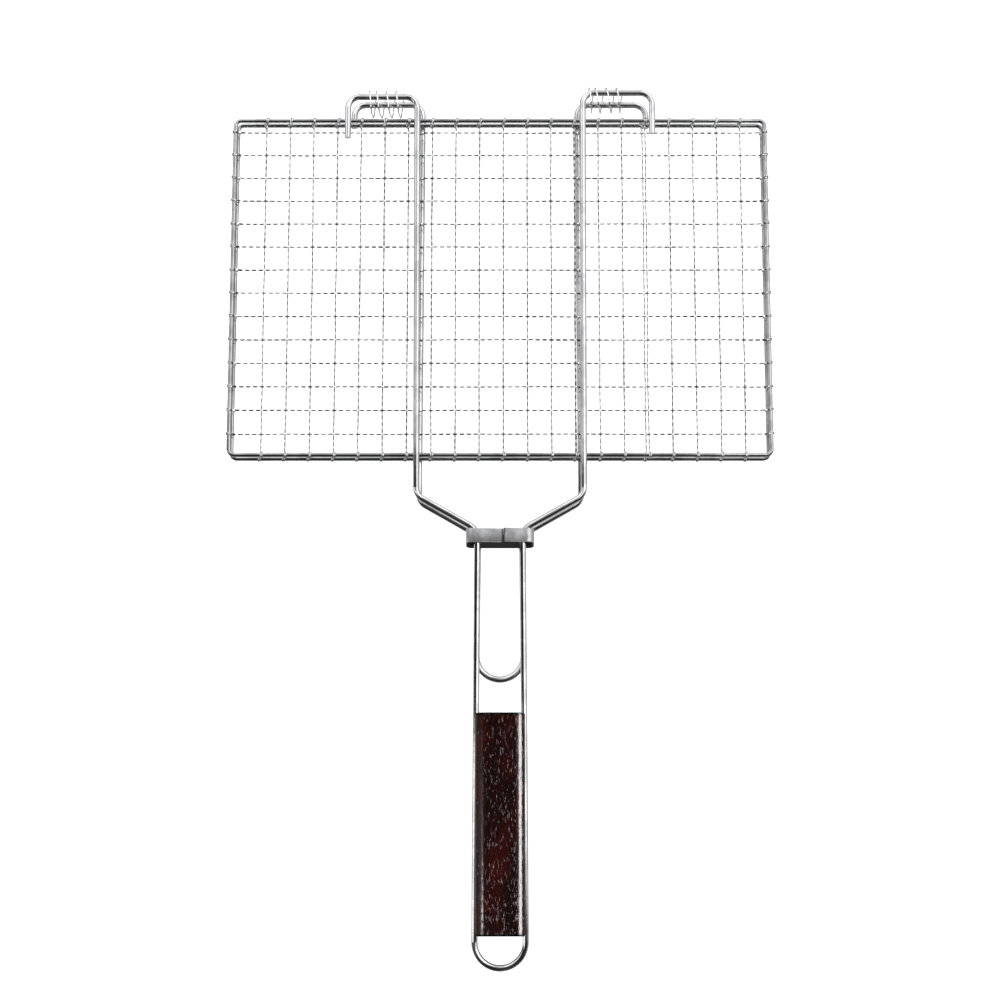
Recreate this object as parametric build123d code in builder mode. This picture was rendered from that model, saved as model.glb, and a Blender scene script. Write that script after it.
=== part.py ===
from build123d import *
from math import cos, radians, sin, sqrt
import os

# Folding grill basket: two flat wire-mesh leaves, joined at the far end by two loose wire coils and
# held shut at the neck by a sliding strap ring.  The upper leaf carries the long handle.
# Millimetres.  +X is right, +Y points from the handle to the hinge, +Z is up from the table.
# The origin is under the middle of the closed basket, on the table.

# ---- wire and strap stock ------------------------------------------------------------------
rod_radius = 2.15
rim_radius = 1.5
mesh_radius = 0.35
eye_radius = 0.38
coil_wire_radius = 0.5
strap_thickness = 1.0

# ---- heights of the stacked layers ---------------------------------------------------------
middle_z = 10.12
rod_spacing = 12.5
weld_sink = 0.2
upper_rod_z = middle_z + rod_spacing / 2
lower_rod_z = middle_z - rod_spacing / 2
rod_to_rim = rod_radius + rim_radius - weld_sink
upper_rim_z = upper_rod_z - rod_to_rim
lower_rim_z = lower_rod_z + rod_to_rim

# ---- rims ----------------------------------------------------------------------------------
rim_length = 240.0
upper_rim_width = 370.0
lower_rim_width = 367.4
rim_corner_radius = 5.5
upper_rim_y = 157.7
lower_rim_y = 156.2

# ---- mesh ----------------------------------------------------------------------------------
lengthwise_count = 21
lengthwise_middle_x = 2.3
upper_lengthwise_pitch = 16.4
lower_lengthwise_pitch = 16.46
crosswise_count = 14
upper_crosswise_pitch = 16.45
lower_crosswise_pitch = 16.51
upper_crosswise_first_y = 53.5
lower_crosswise_first_y = 54.8
layer_offset = 0.36
wire_gap = 0.05

# ---- hooks at the hinge end ----------------------------------------------------------------
hook_bend_radius = 8.0
upper_run_y = 293.7
lower_run_y = 290.9
upper_leg_x = 105.4
lower_leg_x = 101.6
upper_leg_end_y = 264.2
lower_leg_end_y = 274.0
upper_hook_skew = 1.5
upper_rod_x = 57.4
lower_rod_x = 54.0

# ---- handle rods below the rims ------------------------------------------------------------
shoulder_radius = 9.0
neck_radius = 10.0
upper_shoulder = (56.4, 10.8)
upper_neck = (15.2, -12.6)
lower_shoulder = (54.9, 8.6)
lower_neck = (14.8, -14.4)
loop_radius = 16.65
loop_tip_y = -302.75
short_arc_radius = 15.7
short_arc_tip_y = -114.25

# ---- hinge coils ---------------------------------------------------------------------------
coil_turns = 4
coil_length = 24.0
left_coil_x = -79.0
right_coil_x = 73.8
coil_slack = 0.3

# ---- sliding lock ring ---------------------------------------------------------------------
ring_width = 46.0
ring_depth = 19.6
ring_height = 9.5
ring_corner_radius = 5.0
ring_y = -17.4
ring_tilt = 4.0
seam_x = 2.1
seam_gap = 0.5

# ---- wooden grip ---------------------------------------------------------------------------
grip_width = 33.2
grip_thickness = 15.0
grip_top_y = -135.6
grip_bottom_y = -280.4
grip_edge_radius = 4.0
grip_end_radius = 1.0
groove_gap = 0.03


def upper_rod_points(skew):
    """Corner points of the upper rod's right half, from the hook's end to the loop.

    The hook stands further out by the skew, as a hand-bent hook does."""
    return [
        (upper_leg_x, upper_leg_end_y + skew),
        (upper_leg_x, upper_run_y + skew),
        (upper_rod_x, upper_run_y + skew),
        upper_shoulder,
        upper_neck,
        (loop_radius, loop_tip_y + rod_radius + loop_radius),
    ]


def lower_rod_points():
    """Corner points of the lower rod's right half, from the hook's end to the short arc."""
    return [
        (lower_leg_x, lower_leg_end_y),
        (lower_leg_x, lower_run_y),
        (lower_rod_x, lower_run_y),
        lower_shoulder,
        lower_neck,
        (short_arc_radius, short_arc_tip_y + rod_radius + short_arc_radius),
    ]


def draw_bent_rod(right_points, left_points):
    """Draw a whole bent rod in the open BuildLine: right half, half-round end, left half.

    The left half is given by its mirror image on the right."""
    bends = [hook_bend_radius, hook_bend_radius, shoulder_radius, neck_radius]
    end_x, end_y = right_points[-1]
    mirrored_points = [(-x, y) for x, y in reversed(left_points)]
    FilletPolyline(*right_points, radius=bends)
    ThreePointArc((end_x, end_y), (0, end_y - end_x), (-end_x, end_y))
    FilletPolyline(*mirrored_points, radius=list(reversed(bends)))


def lengthwise_positions(pitch):
    """Evenly spaced x positions of the wires that run from the hinge to the handle."""
    first_x = lengthwise_middle_x - pitch * (lengthwise_count - 1) / 2
    return [first_x + pitch * i for i in range(lengthwise_count)]


def crosswise_positions(first_y, pitch):
    """Evenly spaced y positions of the wires that run from side to side."""
    return [first_y + pitch * i for i in range(crosswise_count)]


def clear_of_rods(x, rod_x, leg_x):
    """Move a wire just far enough sideways for its eye to miss the rods welded on the rail."""
    reach = rod_radius + eye_radius + 2 * wire_gap
    for obstacle_x in (-leg_x, -rod_x, rod_x, leg_x):
        if abs(x - obstacle_x) < reach:
            return obstacle_x - reach if x < obstacle_x else obstacle_x + reach
    return x


def rail_positions(middle, size):
    """Positions of the two parallel rails of a rim whose outer size is given."""
    half_spacing = size / 2 - rim_radius
    return middle - half_spacing, middle + half_spacing


def draw_rim(width, middle_y):
    """Draw a rim's rounded rectangle along the middle of its wire, in the open BuildLine."""
    left, right = rail_positions(0, width)
    low, high = rail_positions(middle_y, rim_length)
    corners = [(left, low), (right, low), (right, high), (left, high)]
    FilletPolyline(*corners, radius=rim_corner_radius - rim_radius, close=True)


def make_lengthwise_wires(wire_positions, rim_y, rim_z):
    """Straight wires along Y, each closed round both end rails, in the open BuildPart."""
    low_rail, high_rail = rail_positions(rim_y, rim_length)
    with BuildSketch(Plane.XZ.offset(-(high_rail - wire_end_inset))) as wire_sections:
        with Locations(*[(x, rim_z + layer_offset) for x in wire_positions]):
            Circle(mesh_radius)
    extrude(wire_sections.sketch, amount=high_rail - low_rail - 2 * wire_end_inset)
    with Locations(*[(x, y, rim_z) for x in wire_positions for y in (low_rail, high_rail)]):
        Torus(eye_middle_radius, eye_radius, rotation=(0, 90, 0))


def make_crosswise_wires(wire_positions, rim_width, rim_z):
    """Straight wires along X, each closed round both side rails, in the open BuildPart."""
    left_rail, right_rail = rail_positions(0, rim_width)
    with BuildSketch(Plane.YZ.offset(left_rail + wire_end_inset)) as wire_sections:
        with Locations(*[(y, rim_z - layer_offset) for y in wire_positions]):
            Circle(mesh_radius)
    extrude(wire_sections.sketch, amount=right_rail - left_rail - 2 * wire_end_inset)
    with Locations(*[(x, y, rim_z) for x in (left_rail, right_rail) for y in wire_positions]):
        Torus(eye_middle_radius, eye_radius, rotation=(90, 0, 0))


def draw_coil(middle_x, skew):
    """Draw one hinge coil's centreline round both hook runs, in the open BuildLine."""
    run_y_gap = upper_run_y + skew - lower_run_y
    run_distance = sqrt(run_y_gap ** 2 + rod_spacing ** 2)
    Helix(
        pitch=coil_length / coil_turns,
        height=coil_length,
        radius=run_distance / 2 + rod_radius + coil_slack / 2 + coil_wire_radius,
        center=(middle_x - coil_length / 2, lower_run_y + run_y_gap / 2, middle_z),
        direction=(1, 0, 0),
    )


# ---- worked-out sizes ----------------------------------------------------------------------
eye_middle_radius = rim_radius + wire_gap + eye_radius
wire_end_inset = sqrt(eye_middle_radius ** 2 - layer_offset ** 2)
upper_lengthwise = [
    clear_of_rods(x, upper_rod_x, upper_leg_x) for x in lengthwise_positions(upper_lengthwise_pitch)
]
lower_lengthwise = [
    clear_of_rods(x, lower_rod_x, lower_leg_x) for x in lengthwise_positions(lower_lengthwise_pitch)
]
upper_crosswise = crosswise_positions(upper_crosswise_first_y, upper_crosswise_pitch)
lower_crosswise = crosswise_positions(lower_crosswise_first_y, lower_crosswise_pitch)

# ---- upper leaf ----------------------------------------------------------------------------
with BuildPart() as upper_handle_rod:
    with BuildLine(Plane.XY.offset(upper_rod_z)) as upper_rod_path:
        draw_bent_rod(upper_rod_points(upper_hook_skew), upper_rod_points(-upper_hook_skew))
    with BuildSketch(upper_rod_path.line ^ 0):
        Circle(rod_radius)
    sweep()

with BuildPart() as upper_rim:
    with BuildLine(Plane.XY.offset(upper_rim_z)) as upper_rim_path:
        draw_rim(upper_rim_width, upper_rim_y)
    with BuildSketch(upper_rim_path.line ^ 0):
        Circle(rim_radius)
    sweep()

with BuildPart() as upper_mesh_lengthwise:
    make_lengthwise_wires(upper_lengthwise, upper_rim_y, upper_rim_z)

with BuildPart() as upper_mesh_crosswise:
    make_crosswise_wires(upper_crosswise, upper_rim_width, upper_rim_z)

with BuildPart() as wood_grip:
    with BuildSketch(Plane.XZ.offset(-grip_top_y)):
        with Locations((0, upper_rod_z)):
            RectangleRounded(grip_width, grip_thickness, grip_edge_radius)
    extrude(amount=grip_top_y - grip_bottom_y)
    fillet(faces().filter_by(Axis.Y).edges(), grip_end_radius)
    for side in (-1, 1):
        with BuildLine(Plane.XY.offset(upper_rod_z)) as groove_path:
            Line(
                (side * upper_neck[0], upper_neck[1]),
                (side * loop_radius, loop_tip_y + rod_radius + loop_radius),
            )
        with BuildSketch(groove_path.line ^ 0):
            Circle(rod_radius + groove_gap)
        sweep(mode=Mode.SUBTRACT)

# ---- lower leaf ----------------------------------------------------------------------------
with BuildPart() as lower_handle_rod:
    with BuildLine(Plane.XY.offset(lower_rod_z)) as lower_rod_path:
        draw_bent_rod(lower_rod_points(), lower_rod_points())
    with BuildSketch(lower_rod_path.line ^ 0):
        Circle(rod_radius)
    sweep()

with BuildPart() as lower_rim:
    with BuildLine(Plane.XY.offset(lower_rim_z)) as lower_rim_path:
        draw_rim(lower_rim_width, lower_rim_y)
    with BuildSketch(lower_rim_path.line ^ 0):
        Circle(rim_radius)
    sweep()

with BuildPart() as lower_mesh_lengthwise:
    make_lengthwise_wires(lower_lengthwise, lower_rim_y, lower_rim_z)

with BuildPart() as lower_mesh_crosswise:
    make_crosswise_wires(lower_crosswise, lower_rim_width, lower_rim_z)

# ---- hinge coils ---------------------------------------------------------------------------
with BuildPart() as hinge_coil_left:
    with BuildLine() as left_coil_path:
        draw_coil(left_coil_x, -upper_hook_skew)
    with BuildSketch(left_coil_path.line ^ 0):
        Circle(coil_wire_radius)
    sweep(is_frenet=True)

with BuildPart() as hinge_coil_right:
    with BuildLine() as right_coil_path:
        draw_coil(right_coil_x, upper_hook_skew)
    with BuildSketch(right_coil_path.line ^ 0):
        Circle(coil_wire_radius)
    sweep(is_frenet=True)

# ---- sliding lock ring ---------------------------------------------------------------------
ring_axis = (0, cos(radians(ring_tilt)), -sin(radians(ring_tilt)))
ring_plane = Plane(origin=(0, ring_y, middle_z), x_dir=(1, 0, 0), z_dir=ring_axis)
with BuildPart() as lock_ring:
    with BuildSketch(ring_plane):
        RectangleRounded(ring_width, ring_depth, ring_corner_radius)
        RectangleRounded(
            ring_width - 2 * strap_thickness,
            ring_depth - 2 * strap_thickness,
            ring_corner_radius - strap_thickness,
            mode=Mode.SUBTRACT,
        )
        with Locations((seam_x, -ring_depth / 2)):
            Rectangle(seam_gap, ring_corner_radius, mode=Mode.SUBTRACT)
    extrude(amount=ring_height / 2, both=True)

# ---- named pieces, one file each -----------------------------------------------------------
pieces = {
    "upper_handle_rod": upper_handle_rod,
    "upper_rim": upper_rim,
    "upper_mesh_lengthwise": upper_mesh_lengthwise,
    "upper_mesh_crosswise": upper_mesh_crosswise,
    "wood_grip": wood_grip,
    "lower_handle_rod": lower_handle_rod,
    "lower_rim": lower_rim,
    "lower_mesh_lengthwise": lower_mesh_lengthwise,
    "lower_mesh_crosswise": lower_mesh_crosswise,
    "hinge_coil_left": hinge_coil_left,
    "hinge_coil_right": hinge_coil_right,
    "lock_ring": lock_ring,
}
os.makedirs("parts", exist_ok=True)
for label, piece in pieces.items():
    piece.part.label = label
    export_step(piece.part, f"parts/{label}.step")
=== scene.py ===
import math
import random

import bpy
import numpy as np
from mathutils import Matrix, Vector, noise


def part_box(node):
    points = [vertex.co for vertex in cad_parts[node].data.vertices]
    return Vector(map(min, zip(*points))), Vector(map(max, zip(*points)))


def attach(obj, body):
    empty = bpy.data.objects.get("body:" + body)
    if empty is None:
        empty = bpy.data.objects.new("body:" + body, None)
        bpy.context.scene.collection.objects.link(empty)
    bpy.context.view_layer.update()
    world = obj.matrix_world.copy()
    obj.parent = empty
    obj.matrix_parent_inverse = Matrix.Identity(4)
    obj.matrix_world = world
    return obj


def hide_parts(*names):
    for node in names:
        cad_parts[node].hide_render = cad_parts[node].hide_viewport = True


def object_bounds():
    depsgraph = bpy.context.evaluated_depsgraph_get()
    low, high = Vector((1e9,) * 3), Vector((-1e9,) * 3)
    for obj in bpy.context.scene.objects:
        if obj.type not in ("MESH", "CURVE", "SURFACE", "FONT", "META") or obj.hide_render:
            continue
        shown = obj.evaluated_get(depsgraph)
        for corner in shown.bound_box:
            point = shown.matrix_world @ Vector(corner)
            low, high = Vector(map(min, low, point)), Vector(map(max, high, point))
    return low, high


# Looks of the folding grill basket, in metres and radians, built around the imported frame.
# +X is right, +Y points from the handle to the hinge, +Z is up from the table.

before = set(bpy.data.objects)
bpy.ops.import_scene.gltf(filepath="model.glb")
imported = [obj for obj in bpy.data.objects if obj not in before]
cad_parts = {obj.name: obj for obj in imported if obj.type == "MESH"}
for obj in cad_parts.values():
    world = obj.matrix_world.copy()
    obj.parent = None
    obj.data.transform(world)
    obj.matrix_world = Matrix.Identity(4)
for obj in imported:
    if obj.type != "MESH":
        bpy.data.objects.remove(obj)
cad_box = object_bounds()

MM = 0.001
TURN = 2 * math.pi
QUARTER = TURN / 4
X = np.array((1.0, 0.0, 0.0))
Y = np.array((0.0, 1.0, 0.0))

# ---- woven mesh ------------------------------------------------------------------------------
WIRE_RADIUS = 0.40 * MM
WIRE_SIDES = 8
WIRE_BREAK = 3.0 * MM               # a wider gap than this lies between two wires
CRIMP_HEIGHT = 0.44 * MM
CRIMP_SPREAD = (0.85, 1.1)          # height of single wires' crimps, as a share
WAVES_PER_CELL = 3.5
POINTS_PER_WAVE = 10
WANDER = 0.22 * MM                  # how far a wire strays sideways at a crossing
SWAY = 0.25                         # long sideways waves, as a share of the wander
SWAY_PITCH = 45.0                   # radians of them per metre
SWAY_STARTS = 100                   # range of their starting angles
RISE_START = 5.5 * MM               # distance from the rail's middle where a wire starts to rise
RISE_SOFTNESS = 0.15 * MM
RISE_FADE = 0.7                     # power with which the crimps fade along the rise
WRAP_TURNS = 1.3
WRAP_POINTS = 33
WRAP_SHIFT = 0.8 * MM               # sideways travel of a turn round the rail
WRAP_SHIFT_SPREAD = (0.9, 1.5)

# ---- painted light on the mesh wires, from 0, painted shade, to 1, full brightness -----------
WRAP_PAINTED_LIGHT = 0.76
LENGTHWISE_PAINTED_LIGHT = 0.79
CREST_PAINTED_SHADE = 0.19                   # what a lengthwise wire's crests lose of that

# ---- welds -----------------------------------------------------------------------------------
ROD_RADIUS = 2.15 * MM
BEAD_LENGTH = 1.35 * MM
BEAD_WIDTH = 1.75 * MM
BEAD_HEIGHT = 1.0 * MM
BEAD_SPREAD = (0.9, 1.15)
BEAD_RINGS = 9
BEAD_SIDES = 14
BEAD_UNEVENNESS = 0.22
BEAD_LUMPS = 1.7                    # lumps per bead radius
BEAD_STARTS = 50                    # range of the places in the noise

# ---- coils -----------------------------------------------------------------------------------
COIL_WIRE_RADIUS = 0.5 * MM
COIL_WIRE_SIDES = 12
COIL_TURNS = 4
COIL_POINTS = 48                    # per turn
COIL_SQUARENESS = 3.0               # 2 is an ellipse
COIL_WOBBLE = 0.006                 # of the radius
COIL_WOBBLE_PITCH = 5.3
COIL_WOBBLE_STARTS = 6

# ---- lock ring -------------------------------------------------------------------------------
RING_TILT = math.radians(4.0)
STRAP_THICKNESS = 1.0 * MM
STRAP_WIDTH = 9.5 * MM
STRAP_CORNER = 5.0 * MM
STRAP_EDGE = 0.32 * MM
STRAP_EDGE_STEPS = 4
STRAP_TIP = 0.1 * MM
STRAP_TIP_STEPS = (0.0, 0.05 * MM, 0.25 * MM)
STRAP_CORNER_STEPS = 12
STRAP_RIGHT_STEPS = 8
STRAP_LEFT_STEPS = 14
STRAP_UNDER_STEPS = 16
SEAM_X = 2.1 * MM
SEAM_GAP = 0.3 * MM
# the strap ends at the seam carry painted shade over this length
SEAM_SHADE = 0.35 * MM              # length of the dark strap ends
SEAM_STEP = 0.7 * MM                # how far the two ends are out of line
SEAM_REACH = 9 * MM                 # distance over which the step dies out

# ---- grip ------------------------------------------------------------------------------------
GRIP_EDGE = 6.5 * MM
GRIP_EDGE_STEPS = 8
GRIP_END = 1.1 * MM                 # softening of the two end faces
GRIP_END_POINTS = 7
GRIP_STEPS = 120
GRIP_SPACING = 1.6 * MM
GRIP_DENTS = ((55, 0.10 * MM), (240, 0.035 * MM))     # dents per metre, and their depth

# ---- ends of swept wires and straps ----------------------------------------------------------
TIP_SCALE = 0.6
TIP_LENGTH = 0.5                    # of a wire's radius

# ---- view and surroundings -------------------------------------------------------------------
CAMERA_TILT = math.radians(10.654)
CAMERA_DISTANCE = 1.5532
CAMERA_TARGET = Vector((0.0, 0.01063, 0.0))
CAMERA_LENS = 82.38
CAMERA_OFFSET = Vector((0, -math.sin(CAMERA_TILT), math.cos(CAMERA_TILT))) * CAMERA_DISTANCE
FLOOR_SIZE = 8
FLOOR_DROP = 18 * MM
FLOOR_SHADE = 0.9
FLOOR_GLOW = 0.9
CEILING = 1.4
CEILING_SIZE = 30
CEILING_LIGHT = 0.62
BACKDROP = (1.0, 1.0, 1.0)


# ---- mesh building ---------------------------------------------------------------------------
def unit(vectors):
    """Rows scaled to length one."""
    return vectors / np.linalg.norm(vectors, axis=-1, keepdims=True)


def circle(radius, sides):
    """A round section as (along side, along normal) pairs."""
    angles = np.arange(sides) * TURN / sides
    return radius * np.column_stack((np.cos(angles), np.sin(angles)))


def rounded_box_section(width, height, radius, steps):
    """A rounded rectangle as (across, up) pairs, counter-clockwise."""
    points = []
    for quarter, (sx, sy) in enumerate(((1, 1), (-1, 1), (-1, -1), (1, -1))):
        for step in range(steps + 1):
            angle = (quarter + step / steps) * QUARTER
            points.append((
                sx * (width / 2 - radius) + radius * math.cos(angle),
                sy * (height / 2 - radius) + radius * math.sin(angle),
            ))
    return np.array(points)


def subdivided(section, spacing):
    """The closed section with its long straight stretches split into equal steps."""
    points = []
    for here, there in zip(section, np.roll(section, -1, 0)):
        steps = max(1, int(round(np.linalg.norm(there - here) / spacing)))
        points += [here + (there - here) * k / steps for k in range(steps)]
    return np.array(points)


def between(start, end, steps):
    """The places that split a stretch into equal steps, without its ends."""
    return [start + (end - start) * k / steps for k in range(1, steps)]


def tube_faces(rings, sides):
    """Faces round a row of rings of points, and one over each end."""
    corners = np.arange(rings - 1)[:, None] * sides + np.arange(sides)
    next_corners = np.roll(corners, -1, axis=1)
    quads = np.stack((corners, corners + sides, next_corners + sides, next_corners), -1)
    faces = quads.reshape(-1, 4).tolist()
    faces.append(list(range(sides)))
    faces.append(list(reversed(range((rings - 1) * sides, rings * sides))))
    return faces


def swept(path, side, section, tip):
    """Vertices and faces of a section swept along a path, with `side` held across the path.

    One narrower ring is added past each end, at the distance `tip`."""
    first = path[0] + unit(path[0] - path[1]) * tip
    last = path[-1] + unit(path[-1] - path[-2]) * tip
    path = np.vstack((first, path, last))
    scale = np.ones(len(path))
    scale[[0, -1]] = TIP_SCALE
    tangents = unit(np.gradient(path, axis=0))
    across = unit(side - (tangents @ side)[:, None] * tangents)
    normals = np.cross(across, tangents)
    scaled = section[None, :, :] * scale[:, None, None]
    vertices = (
        path[:, None, :]
        + scaled[:, :, 0:1] * across[:, None, :]
        + scaled[:, :, 1:2] * normals[:, None, :]
    )
    return vertices.reshape(-1, 3), tube_faces(len(path), len(section))


def joined(name, shells, material, body, stands_for=(), painted_light=None):
    """One piece from several shells, riding on its body, smooth but for its end faces.

    The last argument is the light painted into the colour at each vertex, from 0, painted shade,
    to 1, full brightness."""
    vertices, faces, offset = [], [], 0
    for shell_vertices, shell_faces in shells:
        vertices.append(shell_vertices)
        faces += [[index + offset for index in face] for face in shell_faces]
        offset += len(shell_vertices)
    mesh = bpy.data.meshes.new(name)
    mesh.from_pydata(np.vstack(vertices).tolist(), [], faces)
    mesh.validate()
    mesh.polygons.foreach_set("use_smooth", [len(face.vertices) <= 4 for face in mesh.polygons])
    if painted_light is None:
        painted_light = np.ones(len(mesh.vertices))
    mesh.attributes.new("painted_light", "FLOAT", "POINT").data.foreach_set("value", np.float32(painted_light))
    piece = bpy.data.objects.new(name, mesh)
    bpy.context.scene.collection.objects.link(piece)
    mesh.materials.append(material)
    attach(piece, body)
    if stands_for:
        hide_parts(*stands_for)
    return piece


# ---- materials -------------------------------------------------------------------------------
class Nodes:
    """A short way to build one node tree."""

    def __init__(self, tree):
        self.tree = tree
        tree.nodes.clear()

    def feed(self, socket, value):
        """Sets an input to a number, a vector or a colour, or links it to an output."""
        if isinstance(value, bpy.types.NodeSocket):
            self.tree.links.new(value, socket)
        elif socket.type == "RGBA":
            socket.default_value = (*value, 1)
        else:
            socket.default_value = value

    def add(self, kind, **values):
        """A new node, its properties and inputs set by name."""
        node = self.tree.nodes.new(kind)
        for key, value in values.items():
            if hasattr(node, key):
                setattr(node, key, value)
            else:
                self.feed(node.inputs[key.replace("_", " ")], value)
        return node

    def finish(self, surface, kind="ShaderNodeOutputMaterial"):
        """Ends the tree with its surface shader."""
        self.feed(self.add(kind).inputs[0], surface.outputs[0])

    def math(self, operation, a, b=0.0, clamp=False):
        """The result of one sum."""
        node = self.add("ShaderNodeMath", operation=operation, use_clamp=clamp)
        self.feed(node.inputs[0], a)
        self.feed(node.inputs[1], b)
        return node.outputs[0]

    def ramp(self, factor, stops, smooth=False):
        """The shade for a factor, from stops of (factor, grey or colour)."""
        node = self.add("ShaderNodeValToRGB", Fac=factor)
        ramp = node.color_ramp
        ramp.interpolation = "EASE" if smooth else "LINEAR"
        for index, (place, shade) in enumerate(stops):
            element = ramp.elements[index] if index < 2 else ramp.elements.new(place)
            element.position = place
            element.color = (*shade, 1) if isinstance(shade, tuple) else (shade,) * 3 + (1,)
        return node.outputs[0]

    def mix(self, factor, a, b):
        """Colour a where the factor is 0, and b where it is 1."""
        node = self.add("ShaderNodeMix", data_type="RGBA")
        for index, value in ((0, factor), (6, a), (7, b)):
            self.feed(node.inputs[index], value)
        return node.outputs[2]

    def mix_numbers(self, factor, a, b):
        """Number a where the factor is 0, and b where it is 1."""
        node = self.add("ShaderNodeMix", data_type="FLOAT")
        for index, value in ((0, factor), (2, a), (3, b)):
            self.feed(node.inputs[index], value)
        return node.outputs[0]

    def noise(self, vector, scale=1.0, detail=3.0, roughness=0.5):
        """Soft noise between 0 and 1."""
        node = self.add(
            "ShaderNodeTexNoise", Vector=vector, Scale=scale, Detail=detail, Roughness=roughness
        )
        return node.outputs["Fac"]

    def stretched(self, scale=(1.0, 1.0, 1.0)):
        """Object coordinates scaled per axis."""
        place = self.add("ShaderNodeTexCoord").outputs["Object"]
        return self.add("ShaderNodeMapping", Vector=place, Scale=scale).outputs[0]

    def painted_light(self):
        """The piece's own wear."""
        # The piece's painted light, from 0, painted shade, to 1, full brightness.
        return self.add("ShaderNodeAttribute", attribute_name="painted_light").outputs["Fac"]


def new_material(name):
    """A material, and the builder of its empty node tree."""
    material = bpy.data.materials.new(name)
    material.use_nodes = True
    return material, Nodes(material.node_tree)


# ---- steel -----------------------------------------------------------------------------------
SCRATCHES = 9.0                     # scratches in the length of a dent
SCRATCH_DEPTH = 0.08                # of a dent's
STAINS = 0.35                       # stains in the length of a dent
STAIN_START = 0.42
# how far the scratches roughen the edge of the painted shade
PAINTED_LIGHT_UNEVENNESS = 0.6
MEAN_NOISE = 0.5
# specular level of the whole metal once a painted shade grey is given
PAINTED_SHADE_SPECULAR = 0.2


def cool_grey(level):
    """A grey with a trace of blue."""
    return level, level, level + 0.01


def steel(name, shade, stained, roughness, rough_spread, dent_size, dent_depth, stain_width,
          shade_grey=None, dark_until=0.0, bright_from=1.0):
    """Plated steel with uneven polish, small dents and darker stains.

    Given a dark grey for painted shade, the metal is painted that grey, not metallic, where the
    piece's painted light, made a little uneven, is below `dark_until`. From `bright_from` on it
    keeps its own look."""
    material, nodes = new_material(name)
    shader = nodes.add("ShaderNodeBsdfPrincipled", Metallic=1.0)
    nodes.finish(shader)
    place = nodes.stretched()
    dents = nodes.noise(place, 1 / dent_size, detail=2.0)
    scratches = nodes.noise(place, SCRATCHES / dent_size, detail=4.0, roughness=0.65)
    stains = nodes.noise(place, STAINS / dent_size, detail=5.0, roughness=0.6)
    spotless = nodes.ramp(stains, [(STAIN_START, 0.0), (STAIN_START + stain_width, 1.0)])
    colour = nodes.mix(spotless, cool_grey(stained), cool_grey(shade))
    # painted shade: where the piece's painted light is low, the metal turns a flat dark grey
    if shade_grey is not None:
        uneven = nodes.math("SUBTRACT", scratches, MEAN_NOISE)
        uneven = nodes.math("MULTIPLY", uneven, PAINTED_LIGHT_UNEVENNESS)
        painted_light = nodes.math("ADD", nodes.painted_light(), uneven, clamp=True)
        unshaded = nodes.ramp(painted_light, [(dark_until, 0.0), (bright_from, 1.0)])
        colour = nodes.mix(unshaded, (shade_grey,) * 3, colour)
        nodes.feed(shader.inputs["Metallic"], unshaded)
        nodes.feed(shader.inputs["Specular IOR Level"], PAINTED_SHADE_SPECULAR)
    nodes.feed(shader.inputs["Base Color"], colour)
    spread = nodes.math("MULTIPLY", scratches, rough_spread)
    nodes.feed(shader.inputs["Roughness"], nodes.math("ADD", spread, roughness))
    heights = nodes.math("ADD", dents, nodes.math("MULTIPLY", scratches, SCRATCH_DEPTH))
    relief = nodes.add("ShaderNodeBump", Strength=1.0, Distance=dent_depth, Height=heights)
    nodes.feed(shader.inputs["Normal"], relief.outputs[0])
    return material


polished_wire = steel(
    "polished_wire", shade=0.84, stained=0.66, roughness=0.03, rough_spread=0.10,
    dent_size=5 * MM, dent_depth=0.02 * MM, stain_width=0.12,
)
# the rod's plated steel painted darker: painted shade for the rim's rails
shaded_rim_wire = steel(
    "shaded_rim_wire", shade=0.62, stained=0.45, roughness=0.03, rough_spread=0.10,
    dent_size=5 * MM, dent_depth=0.02 * MM, stain_width=0.12,
)
coil_wire = steel(
    "coil_wire", shade=0.90, stained=0.80, roughness=0.05, rough_spread=0.08,
    dent_size=5 * MM, dent_depth=0.01 * MM, stain_width=0.12,
)
# mesh wires: near-black painted shade where their painted light is low
mesh_wire = steel(
    "mesh_wire", shade=0.86, stained=0.72, roughness=0.12, rough_spread=0.12,
    dent_size=3 * MM, dent_depth=0.01 * MM, stain_width=0.2,
    shade_grey=0.03, dark_until=0.60, bright_from=0.86,
)
# strap: dark grey painted shade on its inside and at the seam
strap_steel = steel(
    "strap_steel", shade=0.78, stained=0.52, roughness=0.20, rough_spread=0.22,
    dent_size=3 * MM, dent_depth=0.03 * MM, stain_width=0.2,
    shade_grey=0.06, dark_until=0.2, bright_from=0.8,
)

# ---- wood: its patterns in cells per metre across, along and through the grip, then colours ----
PORES = (1250.0, 210.0, 1250.0)
BANDS = (140.0, 9.0, 140.0)
BLOTCHES = (60.0, 28.0, 60.0)
RIPPLES = (700.0, 380.0, 700.0)
WOOD_DARK = (0.007, 0.0012, 0.0011)
WOOD_BROWN = (0.014, 0.0014, 0.0012)
WOOD_LIGHT = (0.036, 0.0018, 0.0014)
WOOD_RED = (0.060, 0.0022, 0.0017)
WOOD_DUST = (0.26, 0.15, 0.14)
# near-black painted shade of the grip's ends
WOOD_END_SHADE = (0.0015, 0.001, 0.001)
WOOD_RELIEF = 0.065 * MM
RIPPLE_DEPTH = 1.2                  # of a pore's
WOOD_ROUGHNESS = 0.10
RIPPLE_ROUGHNESS = 0.25
WOOD_IOR = 1.45
WOOD_SPECULAR = 0.10
LACQUER = 0.28
LACQUER_ROUGHNESS = 0.10


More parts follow.
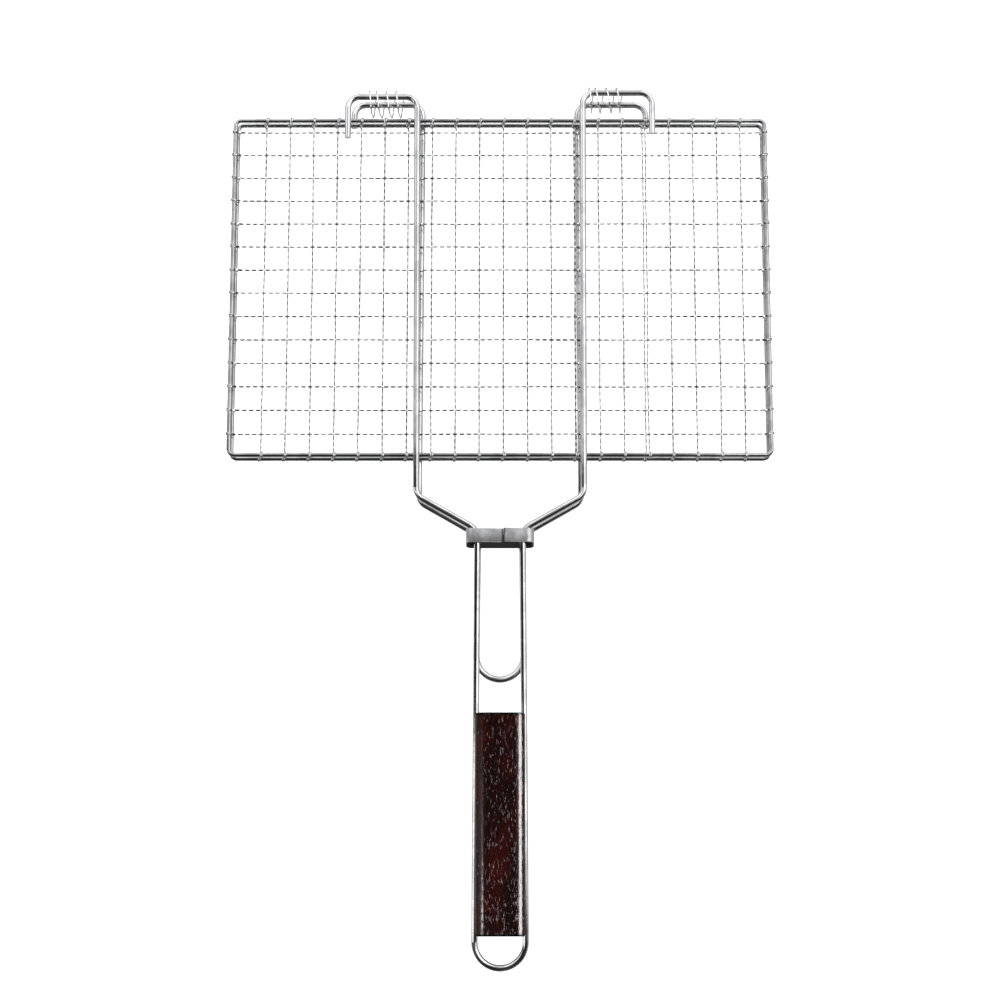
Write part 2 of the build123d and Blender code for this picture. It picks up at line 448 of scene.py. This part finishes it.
def lacquered_wood():
    """Dark red-brown lacquer over open-pored wood, grain along the grip, with near-black painted
    shade and no lacquer at the ends.
    """
    material, nodes = new_material("lacquered_wood")
    pores = nodes.noise(nodes.stretched(PORES), roughness=0.6)
    bands = nodes.noise(nodes.stretched(BANDS), detail=4.0, roughness=0.6)
    blotches = nodes.noise(nodes.stretched(BLOTCHES))
    ripples = nodes.noise(nodes.stretched(RIPPLES))
    grain = nodes.ramp(bands, [(0.30, WOOD_DARK), (0.52, WOOD_BROWN), (0.75, WOOD_LIGHT)])
    reddish = nodes.ramp(blotches, [(0.46, 0.0), (0.70, 0.8)])
    dusty = nodes.ramp(pores, [(0.70, 0.0), (0.73, 1.0)])
    painted_light = nodes.painted_light()
    colour = nodes.mix(dusty, nodes.mix(reddish, grain, WOOD_RED), WOOD_DUST)
    pits = nodes.ramp(pores, [(0.60, 1.0), (0.70, 0.0)])
    relief = nodes.add(
        "ShaderNodeBump", Strength=1.0, Distance=WOOD_RELIEF,
        Height=nodes.math("ADD", pits, nodes.math("MULTIPLY", ripples, RIPPLE_DEPTH)),
    )
    # near the ends, the painted light turns the colour near-black and takes the lacquer off:
    # painted shade
    shader = nodes.add(
        "ShaderNodeBsdfPrincipled", Base_Color=nodes.mix(painted_light, WOOD_END_SHADE, colour),
        Roughness=nodes.math(
            "ADD", nodes.math("MULTIPLY", ripples, RIPPLE_ROUGHNESS), WOOD_ROUGHNESS
        ),
        IOR=WOOD_IOR, Specular_IOR_Level=WOOD_SPECULAR, Normal=relief.outputs[0],
        Coat_Weight=nodes.math("MULTIPLY", painted_light, LACQUER), Coat_Roughness=LACQUER_ROUGHNESS,
        Coat_Normal=relief.outputs[0],
    )
    nodes.finish(shader)
    return material


wood = lacquered_wood()


# ---- woven mesh of each leaf -----------------------------------------------------------------
def wire_middles(node, axis):
    """Middle of every wire in a mesh node, across the wires, found by the gaps between them."""
    points = np.array([vertex.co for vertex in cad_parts[node].data.vertices])
    values = np.sort(points[:, axis])
    groups = np.split(values, np.where(np.diff(values) > WIRE_BREAK)[0] + 1)
    return [float(group[0] + group[-1]) / 2 for group in groups]


def mean_spacing(middles):
    """Mean distance between neighbouring wires."""
    return (middles[-1] - middles[0]) / (len(middles) - 1)


WAVE_LENGTH = mean_spacing(wire_middles("upper_mesh_lengthwise", 0)) / WAVES_PER_CELL


def rail_lines(rim):
    """Wire radius, height, and the x and y of the side and end rails of a rim."""
    low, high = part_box(rim)
    radius = (high.z - low.z) / 2
    return {
        "radius": radius,
        "z": low.z + radius,
        "x": (low.x + radius, high.x - radius),
        "y": (low.y + radius, high.y - radius),
    }


def crimp_phase(places, crossings, first_sign):
    """Wave phase along a wire: every crossing lands on a crest or a trough."""
    phase_per_cell = TURN * WAVES_PER_CELL
    knots = np.arange(len(crossings)) * phase_per_cell
    rate = phase_per_cell / mean_spacing(crossings)
    phase = np.interp(places, crossings, knots)
    before = knots[0] - (crossings[0] - places) * rate
    beyond = knots[-1] + (places - crossings[-1]) * rate
    phase = np.where(places < crossings[0], before, phase)
    phase = np.where(places > crossings[-1], beyond, phase)
    return phase + (0 if first_sign > 0 else math.pi)


def rail_wrap(reach, shift):
    """Points (outward distance, height, sideways) of a wire's turns round a rail.

    Distances run from the rail's middle, inward negative.  `reach` is the wrap's radius.  The
    turns start where a straight rise from the mesh touches the rail."""
    first_angle = math.pi - math.acos(reach / RISE_START)
    turned = np.linspace(0, WRAP_TURNS, WRAP_POINTS)
    angles = first_angle - turned * TURN
    return np.column_stack((reach * np.cos(angles), reach * np.sin(angles), shift * turned))


def mesh_wire_path(rails, wave, sideways, wrap_reach, shifts, tone):
    """Path of one crimped wire in (along, up, sideways), wrapped round a rail at both ends.

    Comes with the painted light at each point, and at a tip past either end."""
    wraps = [
        rail_wrap(wrap_reach, shift) * (direction, 1, 1) + (rail, 0, sideways(rail))
        for rail, direction, shift in zip(rails, (-1, 1), shifts)
    ]
    first, last = wraps[0][0], wraps[1][0]
    count = int((last[0] - first[0]) / WAVE_LENGTH * POINTS_PER_WAVE)
    along = np.linspace(first[0], last[0], count)[1:-1]
    crimps = wave(along)
    up = crimps
    rise = RISE_START - abs(first[0] - rails[0])
    for edge, direction in ((first[0], 1), (last[0], -1)):
        gap = (along - edge) * direction
        line = first[1] * (1 - gap / rise)
        softened = (line + np.sqrt(line ** 2 + RISE_SOFTNESS ** 2)) / 2
        fade = np.clip(gap / rise, 0, 1) ** RISE_FADE
        up = np.where(gap < 2 * rise, up * fade + softened, up)
    middle = np.column_stack((along, up, sideways(along)))
    # painted shade and highlight along the crimp, from the wave's height
    shades = tone((np.clip(crimps / CRIMP_HEIGHT, -1, 1) + 1) / 2)
    wrap_shades = np.full(WRAP_POINTS + 1, WRAP_PAINTED_LIGHT)
    painted_light = np.concatenate((wrap_shades, shades, wrap_shades))
    return np.vstack((wraps[0][::-1], middle, wraps[1])), painted_light


def wanderer(places, rng):
    """A smooth random sideways drift through small offsets at the given places."""
    offsets = [rng.uniform(-WANDER, WANDER) for _ in places]
    start = rng.uniform(0, SWAY_STARTS)

    def drift(along):
        sway = SWAY * WANDER * np.sin(np.asarray(along) * SWAY_PITCH + start)
        return np.interp(along, places, offsets) + sway

    return drift


def lengthwise_tone(height):
    """Painted light on a lengthwise wire for the height of its wave, 0 in a trough, 1 on a crest:
    painted shade on the crests.
    """
    return LENGTHWISE_PAINTED_LIGHT - CREST_PAINTED_SHADE * height ** 2


def crosswise_tone(height):
    """Painted light on a crosswise wire: painted shade in the troughs, full brightness on the
    crests.
    """
    return height


def leaf_mesh(leaf, seed, wrap_side):
    """The two wire directions of one leaf's woven mesh.

    `wrap_side` is the way in which the wires travel along the rails they are wound round."""
    rng = random.Random(seed)
    rails = rail_lines(f"{leaf}_rim")
    lengthwise = wire_middles(f"{leaf}_mesh_lengthwise", 0)
    crosswise = wire_middles(f"{leaf}_mesh_crosswise", 1)
    drift_x = [wanderer(crosswise, rng) for _ in lengthwise]
    drift_y = [wanderer(lengthwise, rng) for _ in crosswise]
    reach = rails["radius"] + WIRE_RADIUS
    section = circle(WIRE_RADIUS, WIRE_SIDES)
    pieces = []
    for kind, positions, crossings, drifts, ends, side, columns, first_sign, tone in (
        (
            "lengthwise", lengthwise, crosswise, drift_x,
            rails["y"], X, (2, 0, 1), 1, lengthwise_tone,
        ),
        (
            "crosswise", crosswise, lengthwise, drift_y,
            rails["x"], Y, (0, 2, 1), -1, crosswise_tone,
        ),
    ):
        shells, painted_lights = [], []
        sign = first_sign
        for position, drift in zip(positions, drifts):
            height = CRIMP_HEIGHT * rng.uniform(*CRIMP_SPREAD)
            shifts = [WRAP_SHIFT * rng.uniform(*WRAP_SHIFT_SPREAD) * wrap_side for _ in range(2)]

            def wave(along):
                return height * np.cos(crimp_phase(along, crossings, sign))

            def sideways(along):
                return position + drift(along)

            path, painted_light = mesh_wire_path(ends, wave, sideways, reach, shifts, tone)
            points = path[:, columns] + (0, 0, rails["z"])
            shells.append(swept(points, side, section, TIP_LENGTH * WIRE_RADIUS))
            painted_lights.append(np.repeat(painted_light, WIRE_SIDES))
            sign = -sign
        pieces.append(joined(
            f"{leaf}_{kind}_wires", shells, mesh_wire, f"{leaf}_leaf",
            [f"{leaf}_mesh_{kind}"], np.concatenate(painted_lights),
        ))
    return pieces


mesh_pieces = leaf_mesh("upper", seed=11, wrap_side=1) + leaf_mesh("lower", seed=29, wrap_side=-1)


# ---- rods, rims and their welds --------------------------------------------------------------
def rod_centre(rod, y, from_x, direction):
    """x of a rod's middle where a level ray along X first meets it."""
    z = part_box(rod)[0].z + ROD_RADIUS
    hit, place, _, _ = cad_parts[rod].ray_cast((from_x, y, z), (direction, 0, 0))
    if not hit:
        raise RuntimeError(f"no rod found for {rod} at y {y}")
    return place.x + direction * ROD_RADIUS


def weld_bead(centre, size, rng):
    """A small uneven lump of weld metal between a rod and a rail."""
    start = Vector([rng.uniform(0, BEAD_STARTS) for _ in range(3)])
    vertices = []
    for ring in range(BEAD_RINGS):
        polar = math.pi * (ring + 0.5) / BEAD_RINGS
        for side in range(BEAD_SIDES):
            angle = TURN * side / BEAD_SIDES
            spot = Vector((
                math.sin(polar) * math.cos(angle),
                math.sin(polar) * math.sin(angle),
                math.cos(polar),
            ))
            lump = 1 + BEAD_UNEVENNESS * noise.noise(spot * BEAD_LUMPS + start)
            vertices.append((
                centre[0] + spot.x * BEAD_WIDTH * size * lump,
                centre[1] + spot.y * BEAD_LENGTH * size * lump,
                centre[2] + spot.z * BEAD_HEIGHT,
            ))
    return np.array(vertices), tube_faces(BEAD_RINGS, BEAD_SIDES)


def leaf_welds(leaf, seed):
    """Weld beads where the rod's legs and hook ends cross the rim's rails."""
    rng = random.Random(seed)
    rod = f"{leaf}_handle_rod"
    rails = rail_lines(f"{leaf}_rim")
    low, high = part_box(rod)
    rod_z = low.z + ROD_RADIUS
    contact = (rod_z * rails["radius"] + rails["z"] * ROD_RADIUS) / (rails["radius"] + ROD_RADIUS)
    handle_rail, hinge_rail = rails["y"]
    shells = []
    for y, from_x, direction in (
        (handle_rail, 0.0, 1), (handle_rail, 0.0, -1),
        (hinge_rail, 0.0, 1), (hinge_rail, 0.0, -1),
        (hinge_rail, high.x + ROD_RADIUS, -1), (hinge_rail, low.x - ROD_RADIUS, 1),
    ):
        centre = (rod_centre(rod, y, from_x, direction), y, contact)
        shells.append(weld_bead(centre, rng.uniform(*BEAD_SPREAD), rng))
    joined(f"{leaf}_weld_beads", shells, mesh_wire, f"{leaf}_leaf")


for leaf, seed in (("upper", 5), ("lower", 6)):
    leaf_welds(leaf, seed)
    for node, metal in ((f"{leaf}_handle_rod", polished_wire), (f"{leaf}_rim", shaded_rim_wire)):
        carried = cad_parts[node]
        carried.data.materials.clear()
        carried.data.materials.append(metal)


# ---- hinge coils -----------------------------------------------------------------------------
def eased(stops, turns):
    """Smooth values for the turns, through one stop at each whole turn."""
    slopes = np.gradient(stops)
    index = np.minimum(turns.astype(int), len(stops) - 2)
    t = turns - index
    return (
        (2 * t**3 - 3 * t**2 + 1) * stops[index] + (t**3 - 2 * t**2 + t) * slopes[index]
        + (3 * t**2 - 2 * t**3) * stops[index + 1] + (t**3 - t**2) * slopes[index + 1]
    )


def hinge_coil(node, first_turn, last_turn, squeeze, sag, seed):
    """A loose hand-wound coil: even middle turns, closer end turns, cut ends.

    `first_turn` and `last_turn` are the end turns' spacings against the middle ones, `squeeze` the
    loops' length against their height, and `sag` how far they hang towards the handle."""
    low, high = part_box(node)
    middle = (low + high) / 2
    radius = (high.z - low.z) / 2 - COIL_WIRE_RADIUS
    rng = random.Random(seed)
    turns = np.linspace(0, COIL_TURNS, COIL_TURNS * COIL_POINTS)
    spacing = np.ones(COIL_TURNS)
    spacing[0] = first_turn
    spacing[-1] = last_turn
    length = high.x - low.x - 2 * COIL_WIRE_RADIUS
    stops = np.concatenate(([0], np.cumsum(spacing))) / spacing.sum() * length
    angles = TURN * turns - QUARTER
    wobble = np.sin(turns * COIL_WOBBLE_PITCH + rng.uniform(0, COIL_WOBBLE_STARTS)) - 1
    sines, cosines = np.sin(angles), np.cos(angles)
    corners = np.abs(sines) ** COIL_SQUARENESS + np.abs(cosines) ** COIL_SQUARENESS
    reach = radius * (1 + COIL_WOBBLE * wobble) * corners ** (-1 / COIL_SQUARENESS)
    path = np.column_stack((
        low.x + COIL_WIRE_RADIUS + eased(stops, turns),
        middle.y - sag - squeeze * reach * sines,
        middle.z + reach * cosines,
    ))
    section = circle(COIL_WIRE_RADIUS, COIL_WIRE_SIDES)
    shell = swept(path, X, section, TIP_LENGTH * COIL_WIRE_RADIUS)
    return joined(f"{node}_wire", [shell], coil_wire, node, [node])


coils = [
    hinge_coil(
        "hinge_coil_left", first_turn=0.7, last_turn=0.85, squeeze=0.93, sag=2.3 * MM, seed=3
    ),
    hinge_coil(
        "hinge_coil_right", first_turn=0.55, last_turn=0.72, squeeze=0.82, sag=1.0 * MM, seed=4
    ),
]


# ---- lock ring -------------------------------------------------------------------------------
def ring_outline(half_width, half_height):
    """The strap's middle line as (across, up) pairs, clockwise from the seam back to it."""
    corner = STRAP_CORNER - STRAP_THICKNESS / 2
    straight = half_width - corner
    seam_right = SEAM_X + SEAM_GAP / 2
    seam_left = SEAM_X - SEAM_GAP / 2
    outline = [(seam_right + step, half_height) for step in STRAP_TIP_STEPS]
    outline += [(x, half_height) for x in between(SEAM_X, straight, STRAP_RIGHT_STEPS)]
    for sx, sy, quarters in ((1, 1, 1), (1, -1, 0), (-1, -1, -1), (-1, 1, -2)):
        for step in range(STRAP_CORNER_STEPS + 1):
            angle = (quarters - step / STRAP_CORNER_STEPS) * QUARTER
            outline.append((
                sx * straight + corner * math.cos(angle),
                sy * (half_height - corner) + corner * math.sin(angle),
            ))
        if (sx, sy) == (1, -1):
            outline += [(x, -half_height) for x in between(straight, -straight, STRAP_UNDER_STEPS)]
    outline += [(x, half_height) for x in between(-straight, seam_left, STRAP_LEFT_STEPS)]
    outline += [(seam_left - step, half_height) for step in reversed(STRAP_TIP_STEPS)]
    return np.array(outline)


def lock_ring():
    """A bent strap with softened edges, its two ends meeting slightly out of line.

    Its inside and the faces at the seam carry painted shade."""
    low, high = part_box("lock_ring")
    middle = np.array((low + high) / 2)
    width = high.x - low.x
    depth = (high.z - low.z - STRAP_WIDTH * math.sin(RING_TILT)) / math.cos(RING_TILT)
    axis = np.array((0, math.cos(RING_TILT), -math.sin(RING_TILT)))
    up = np.array((0, math.sin(RING_TILT), math.cos(RING_TILT)))
    outline = ring_outline((width - STRAP_THICKNESS) / 2, (depth - STRAP_THICKNESS) / 2)
    lengths = np.linalg.norm(np.diff(outline, axis=0), axis=1)
    from_right = np.concatenate(([0.0], np.cumsum(lengths)))
    from_left = from_right[-1] - from_right
    skew = SEAM_STEP / 2 * (np.exp(-from_right / SEAM_REACH) - np.exp(-from_left / SEAM_REACH))
    path = middle + outline[:, 0:1] * X + outline[:, 1:2] * up + skew[:, None] * axis
    section = rounded_box_section(STRAP_WIDTH, STRAP_THICKNESS, STRAP_EDGE, STRAP_EDGE_STEPS)
    # painted shade on the inside faces and on the strap ends at the seam
    outside = section[:, 1] <= 0
    clear_of_seam = np.minimum(from_right, from_left) >= SEAM_SHADE
    clear_of_seam = np.concatenate(([False], clear_of_seam, [False]))
    painted_light = (clear_of_seam[:, None] & outside[None, :]).ravel()
    return joined(
        "lock_ring_strap", [swept(path, axis, section, STRAP_TIP)], strap_steel,
        "lock_ring", ["lock_ring"], painted_light,
    )


ring = lock_ring()


# ---- wooden grip -----------------------------------------------------------------------------
def grip():
    """A slab of wood with hand-softened edges."""
    low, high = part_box("wood_grip")
    width, height = high.x - low.x, high.z - low.z
    middle_x, middle_z = (low.x + high.x) / 2, (low.z + high.z) / 2
    front = [
        (low.y + GRIP_END * (1 - math.cos(turn)), GRIP_END * (1 - math.sin(turn)))
        for turn in np.linspace(0, QUARTER, GRIP_END_POINTS)
    ]
    back = [(low.y + high.y - y, inset) for y, inset in reversed(front)]
    run = [(y, 0.0) for y in between(low.y + GRIP_END, high.y - GRIP_END, GRIP_STEPS)]
    vertices, painted_light = [], []
    # painted shade on the softened ends, full light along the run
    for part, unshaded in ((front, 0.0), (run, 1.0), (back, 0.0)):
        for y, inset in part:
            section = subdivided(rounded_box_section(
                width - 2 * inset, height - 2 * inset, GRIP_EDGE - inset, GRIP_EDGE_STEPS
            ), GRIP_SPACING)
            for across, up in section:
                spot = Vector((across, y, up))
                dent = sum(noise.noise(spot * pitch) * depth for pitch, depth in GRIP_DENTS)
                pull = 1 - (abs(dent) + dent) / width
                vertices.append((middle_x + across * pull, y, middle_z + up * pull))
            painted_light += [unshaded] * len(section)
    faces = [face[::-1] for face in tube_faces(len(vertices) // len(section), len(section))]
    return joined(
        "grip_wood", [(np.array(vertices), faces)], wood, "upper_leaf",
        ["wood_grip"], painted_light,
    )


wooden_grip = grip()


# ---- floor, light and camera -----------------------------------------------------------------
def stage_plane(name, size, height, material):
    """A level plane of the surroundings."""
    bpy.ops.mesh.primitive_plane_add(size=size, location=(0, 0, height))
    plane = bpy.context.object
    plane.name = name
    plane.data.materials.append(material)
    return plane


def floor():
    """A plain near-white table well below the basket, so that the open leaf clears it."""
    material, nodes = new_material("pale_floor")
    diffuse = nodes.add("ShaderNodeBsdfDiffuse", Color=(FLOOR_SHADE,) * 3)
    glow = nodes.add("ShaderNodeEmission", Strength=FLOOR_GLOW)
    both = nodes.add("ShaderNodeAddShader")
    nodes.feed(both.inputs[0], diffuse.outputs[0])
    nodes.feed(both.inputs[1], glow.outputs[0])
    nodes.finish(both)
    plane = stage_plane("floor", FLOOR_SIZE, cad_box[0][2] - FLOOR_DROP, material)
    plane.visible_glossy = False


def band(nodes, value, low, high, soft):
    """1 where low < value < high, with soft edges."""
    rise = nodes.math("DIVIDE", nodes.math("SUBTRACT", value, low - soft / 2), soft, clamp=True)
    fall = nodes.math("DIVIDE", nodes.math("SUBTRACT", high + soft / 2, value), soft, clamp=True)
    return nodes.math("MULTIPLY", rise, fall)


def ceiling():
    """Studio ceiling seen only in reflections: pale over the mesh, dark over the handle.

    Bright windows lie on either side.

    A rod lying along Y mirrors the ceiling along a hyperbola, so an area can be bounded by
    `along`, the y of the place on the rod that mirrors it for the camera, or by its own y."""
    material, nodes = new_material("studio_ceiling")
    place = nodes.add("ShaderNodeTexCoord").outputs["Object"]
    x, y, _ = nodes.add("ShaderNodeSeparateXYZ", Vector=place).outputs
    reach = nodes.math("SQRT", nodes.math("ADD", nodes.math("MULTIPLY", x, x), CEILING ** 2))
    eye = CAMERA_TARGET + CAMERA_OFFSET
    mirrored = nodes.math("ADD", y, nodes.math("MULTIPLY", reach, eye.y / eye.z))
    along = nodes.math(
        "DIVIDE", mirrored, nodes.math("ADD", nodes.math("MULTIPLY", reach, 1 / eye.z), 1.0)
    )
    areas = (
        # light, x from, x to, measure, from, to, softness
        (0.95, -0.3, 0.3, y, 1.5, 9.0, 0.3),
        (0.02, -19.0, 0.28, along, -9.0, 0.04, 0.015),
        (0.10, -19.0, 0.28, y, -0.85, -0.35, 0.15),
        (1.3, -19.0, -0.8, along, -0.31, -0.15, 0.03),
        (0.02, 0.28, 19.0, y, -9.0, -0.22, 0.1),
        (1.4, 0.30, 2.6, y, -0.15, 6.0, 0.08),
        (1.4, -2.6, -0.30, y, 0.95, 6.0, 0.08),
        (0.25, 0.05, 0.25, y, 0.5, 1.4, 0.1),
    )
    light = CEILING_LIGHT
    for strength, x_low, x_high, measure, low, high, soft in areas:
        inside = nodes.math(
            "MULTIPLY", band(nodes, x, x_low, x_high, soft), band(nodes, measure, low, high, soft)
        )
        light = nodes.mix_numbers(inside, light, strength)
    nodes.finish(nodes.add("ShaderNodeEmission", Strength=light))
    plane = stage_plane("studio_ceiling", CEILING_SIZE, CEILING, material)
    plane.visible_camera = False
    plane.visible_shadow = False


def studio_light():
    """Light from the sides of the studio: pale at the hinge end, dark at the handle end.

    The camera sees the studio's far wall plain white."""
    world = bpy.data.worlds.new("studio")
    bpy.context.scene.world = world
    world.use_nodes = True
    nodes = Nodes(world.node_tree)
    place = nodes.add("ShaderNodeTexCoord").outputs["Generated"]
    x, y, z = nodes.add("ShaderNodeSeparateXYZ", Vector=place).outputs
    # level is 0 straight down, 0.5 at the horizon and 1 straight up
    level = nodes.math("ADD", nodes.math("MULTIPLY", z, 0.5), 0.5)
    ahead = nodes.ramp(level, [(0.0, 0.35), (0.42, 0.4), (0.5, 1.1), (1.0, 1.0)])
    behind = nodes.ramp(level, [(0.0, 0.5), (0.3, 0.3), (0.48, 0.03), (1.0, 0.03)])
    right = nodes.ramp(level, [(0.0, 0.45), (0.45, 0.45), (0.55, 0.7), (1.0, 1.0)])
    left = nodes.ramp(level, [(0.0, 0.75), (0.41, 0.75), (0.45, 0.15), (1.0, 0.15)])
    sharpness = 4.0
    y_side = nodes.math("ADD", nodes.math("MULTIPLY", y, sharpness), 0.5, clamp=True)
    x_side = nodes.math("ADD", nodes.math("MULTIPLY", x, sharpness), 0.5, clamp=True)
    along_y = nodes.mix(y_side, behind, ahead)
    along_x = nodes.mix(x_side, left, right)
    size_x, size_y = nodes.math("ABSOLUTE", x), nodes.math("ABSOLUTE", y)
    never_zero = 0.001
    whole = nodes.math("ADD", nodes.math("ADD", size_x, size_y), never_zero)
    turn = nodes.ramp(nodes.math("DIVIDE", size_x, whole), [(0.55, 0.0), (0.75, 1.0)], smooth=True)
    seen = nodes.add("ShaderNodeLightPath").outputs["Is Camera Ray"]
    light = nodes.mix(seen, nodes.mix(turn, along_y, along_x), BACKDROP)
    nodes.finish(nodes.add("ShaderNodeBackground", Color=light), "ShaderNodeOutputWorld")


def linked_lamp(name, pieces, place, aim, width, length, power):
    """A soft lamp that only the given pieces mirror."""
    data = bpy.data.lights.new(name, "AREA")
    data.shape = "RECTANGLE"
    data.size = width
    data.size_y = length
    data.energy = power
    lamp = bpy.data.objects.new(name, data)
    bpy.context.scene.collection.objects.link(lamp)
    lamp.location = place
    lamp.rotation_euler = (Vector(aim) - Vector(place)).to_track_quat("-Z", "Y").to_euler()
    lamp.visible_diffuse = False
    receivers = bpy.data.collections.new(f"{name}_receivers")
    for piece in pieces:
        receivers.objects.link(piece)
    lamp.light_linking.receiver_collection = receivers


def camera():
    """The view from nearly overhead, leaning towards the handle."""
    data = bpy.data.cameras.new("camera")
    data.lens = CAMERA_LENS
    view = bpy.data.objects.new("camera", data)
    bpy.context.scene.collection.objects.link(view)
    view.location = CAMERA_TARGET + CAMERA_OFFSET
    view.rotation_euler = (CAMERA_TILT, 0, 0)
    bpy.context.scene.camera = view


floor()
ceiling()
studio_light()
linked_lamp(
    "grip_lamp_right", [wooden_grip], place=(0.9, -0.05, 0.55), aim=(0, -0.2, 0),
    width=1.9, length=0.7, power=170,
)
linked_lamp(
    "grip_lamp_left", [wooden_grip], place=(-0.55, -0.45, 0.95), aim=(0, -0.2, 0),
    width=0.35, length=0.5, power=22,
)
linked_lamp(
    "mesh_lamp", mesh_pieces, place=(0, 0.42, 1.35), aim=(0, 0.42, 0),
    width=3.0, length=3.0, power=70,
)
linked_lamp(
    "coil_lamp", coils, place=(0, 0.45, 1.35), aim=(0, 0.45, 0),
    width=0.5, length=1.5, power=6,
)
linked_lamp(
    "ring_lamp", [ring], place=(0, -1.2, 0.7), aim=(0, 0, 0),
    width=1.5, length=0.6, power=5,
)
camera()
bpy.context.scene.view_settings.view_transform = "Standard"
